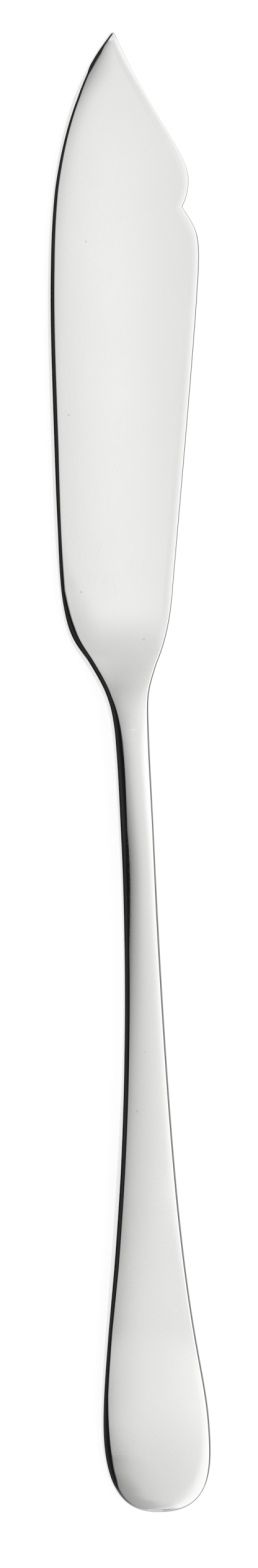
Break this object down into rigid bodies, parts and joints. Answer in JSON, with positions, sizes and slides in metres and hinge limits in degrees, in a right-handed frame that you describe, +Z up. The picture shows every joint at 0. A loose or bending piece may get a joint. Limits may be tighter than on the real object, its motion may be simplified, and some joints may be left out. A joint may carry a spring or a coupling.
{
  "type": "fish knife",
  "caption": "One-piece steel fish knife with a broad pointed blade notched near its tip, a slim neck and a flared rounded handle, for lifting and parting fish at the table.",
  "frame": {"origin": "on the underside, at the middle of the length and of the blade's width", "axes": "+Y along the knife towards the tip, +X towards the notched edge, +Z up from the table to the crowned side"},
  "size_m": [0.022, 0.21, 0.0034],
  "materials": {
    "polished_steel": "mirror polished stainless steel with fine wear scratches"
  },
  "bodies": {
    "root": {"fish_knife": "polished_steel"}
  },
  "joints": []
}
